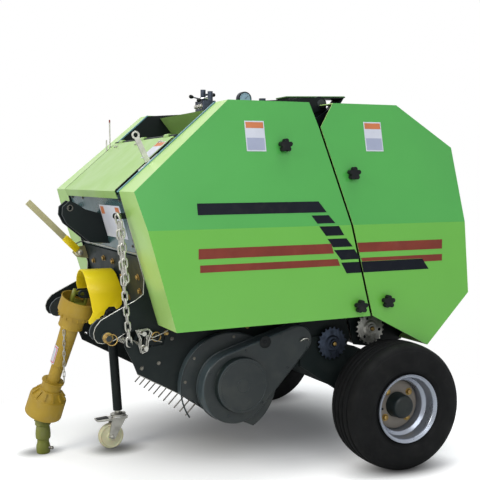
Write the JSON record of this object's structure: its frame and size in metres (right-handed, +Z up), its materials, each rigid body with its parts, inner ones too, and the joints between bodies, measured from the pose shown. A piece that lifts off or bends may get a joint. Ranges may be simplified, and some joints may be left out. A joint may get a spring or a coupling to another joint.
{
  "type": "mini round baler",
  "caption": "Towed mini round baler with roller bale chamber, hinged tailgate, pickup reel, drive shaft and castor parking stand.",
  "frame": {"origin": "centre of the machine's footprint, on the ground", "axes": "+X is the direction of travel, +Y the machine's left, +Z up"},
  "size_m": [1.6891, 1.4326, 1.541],
  "materials": {
    "black_paint": "semi-gloss",
    "green_paint": "gloss",
    "pale_green_paint": "gloss",
    "yellow_paint": "gloss",
    "olive_paint": "satin",
    "silver_paint": "satin",
    "zinc": "zinc plated",
    "bare_steel": "worn",
    "chrome_rod": "polished",
    "valve_metal": "cast",
    "black_plastic": "matte",
    "ochre_plastic": "matte",
    "nylon": "matte",
    "tyre_rubber": "matte"
  },
  "bodies": {
    "frame": {"axle": "black_paint", "cross_beams": "black_paint", "drive_case": "black_paint", "drive_sprocket": "bare_steel", "front_cover_left": "green_paint", "front_cover_right": "green_paint", "front_knobs": "black_plastic", "front_rollers": "bare_steel", "front_wall": "black_paint", "gearbox": "black_paint", "hand_lever": "olive_paint", "hood_levers": "olive_paint", "lift_chain": "zinc", "link_brackets": "zinc", "pickup_side_left": "black_paint", "pickup_side_right": "black_paint", "pto_shield": "yellow_paint", "roof_panel": "pale_green_paint", "side_plate_left": "black_paint", "side_plate_right": "black_paint", "stand_bracket": "black_paint", "strippers": "black_paint", "top_link_ears": "black_paint", "valve_group": "valve_metal"},
    "tailgate": {"gate_beams": "black_paint", "gate_cover_left": "green_paint", "gate_cover_right": "green_paint", "gate_knobs": "black_plastic", "gate_rollers": "bare_steel", "gate_side_left": "black_paint", "gate_side_right": "black_paint", "gate_sprocket": "bare_steel"},
    "wheel_left": {"tyre_left": "tyre_rubber", "rim_left": "silver_paint"},
    "wheel_right": {"tyre_right": "tyre_rubber", "rim_right": "silver_paint"},
    "barrel_left": {"cylinder_barrel_left": "black_paint"},
    "barrel_right": {"cylinder_barrel_right": "black_paint"},
    "rod_left": {"cylinder_rod_left": "chrome_rod"},
    "rod_right": {"cylinder_rod_right": "chrome_rod"},
    "lid": {"hood": "pale_green_paint"},
    "reel": {"pickup_reel": "bare_steel"},
    "leg": {"stand_leg": "black_paint"},
    "fork": {"castor_fork": "zinc"},
    "castor": {"castor_wheel": "nylon"},
    "shaft_upper": {"pto_upper": "ochre_plastic"},
    "shaft_lower": {"pto_lower": "ochre_plastic"}
  },
  "joints": [
    {"name": "tailgate_hinge", "type": "hinge", "parent": "frame", "child": "tailgate", "pos_m": [-0.2575, 0, 1.467], "axis": [0, 1, 0], "range_deg": [0, 60]},
    {"name": "wheel_left_spin", "type": "hinge", "parent": "frame", "child": "wheel_left", "pos_m": [-0.4845, 0.6125, 0.2575], "axis": [0, 1, 0], "continuous": true},
    {"name": "wheel_right_spin", "type": "hinge", "parent": "frame", "child": "wheel_right", "pos_m": [-0.4845, -0.6125, 0.2575], "axis": [0, 1, 0], "continuous": true},
    {"name": "cylinder_left_pivot", "type": "hinge", "parent": "frame", "child": "barrel_left", "pos_m": [-0.1545, 0.45, 0.76], "axis": [0, 1, 0], "range_deg": [0, 12]},
    {"name": "cylinder_left_stroke", "type": "slide", "parent": "barrel_left", "child": "rod_left", "axis": [-0.5927, 0, 0.8054], "range_m": [0, 0.298]},
    {"name": "cylinder_right_pivot", "type": "hinge", "parent": "frame", "child": "barrel_right", "pos_m": [-0.1545, -0.45, 0.76], "axis": [0, 1, 0], "range_deg": [0, 12]},
    {"name": "cylinder_right_stroke", "type": "slide", "parent": "barrel_right", "child": "rod_right", "axis": [-0.5927, 0, 0.8054], "range_m": [0, 0.298]},
    {"name": "hood_hinge", "type": "hinge", "parent": "frame", "child": "lid", "pos_m": [0.3615, 0, 1.331], "axis": [0, -1, 0], "range_deg": [0, 110]},
    {"name": "reel_spin", "type": "hinge", "parent": "frame", "child": "reel", "pos_m": [0.1725, 0, 0.369], "axis": [0, 1, 0], "continuous": true},
    {"name": "stand_slide", "type": "slide", "parent": "frame", "child": "leg", "axis": [0.061, 0, 0.9981], "range_m": [-0.1, 0]},
    {"name": "castor_swivel", "type": "hinge", "parent": "leg", "child": "fork", "pos_m": [0.4525, -0.124, 0.14289], "axis": [0.061, 0, 0.9981], "continuous": true},
    {"name": "castor_spin", "type": "hinge", "parent": "fork", "child": "castor", "pos_m": [0.4865, -0.124, 0.055], "axis": [0, 1, 0], "continuous": true},
    {"name": "shaft_joint", "type": "hinge", "parent": "frame", "child": "shaft_upper", "pos_m": [0.6405, 0, 0.7], "axis": [0, -1, 0], "range_deg": [0, 65]},
    {"name": "shaft_slide", "type": "slide", "parent": "shaft_upper", "child": "shaft_lower", "axis": [-0.223, 0.31, 0.9242], "range_m": [0, 0.07]}
  ],
  "couplings": [
    {"joint": "cylinder_left_pivot", "follows": "tailgate_hinge", "ratio": 0.1915},
    {"joint": "cylinder_left_stroke", "follows": "tailgate_hinge", "m_per_rad": 0.2836},
    {"joint": "cylinder_right_pivot", "follows": "tailgate_hinge", "ratio": 0.1915},
    {"joint": "cylinder_right_stroke", "follows": "tailgate_hinge", "m_per_rad": 0.2836}
  ]
}
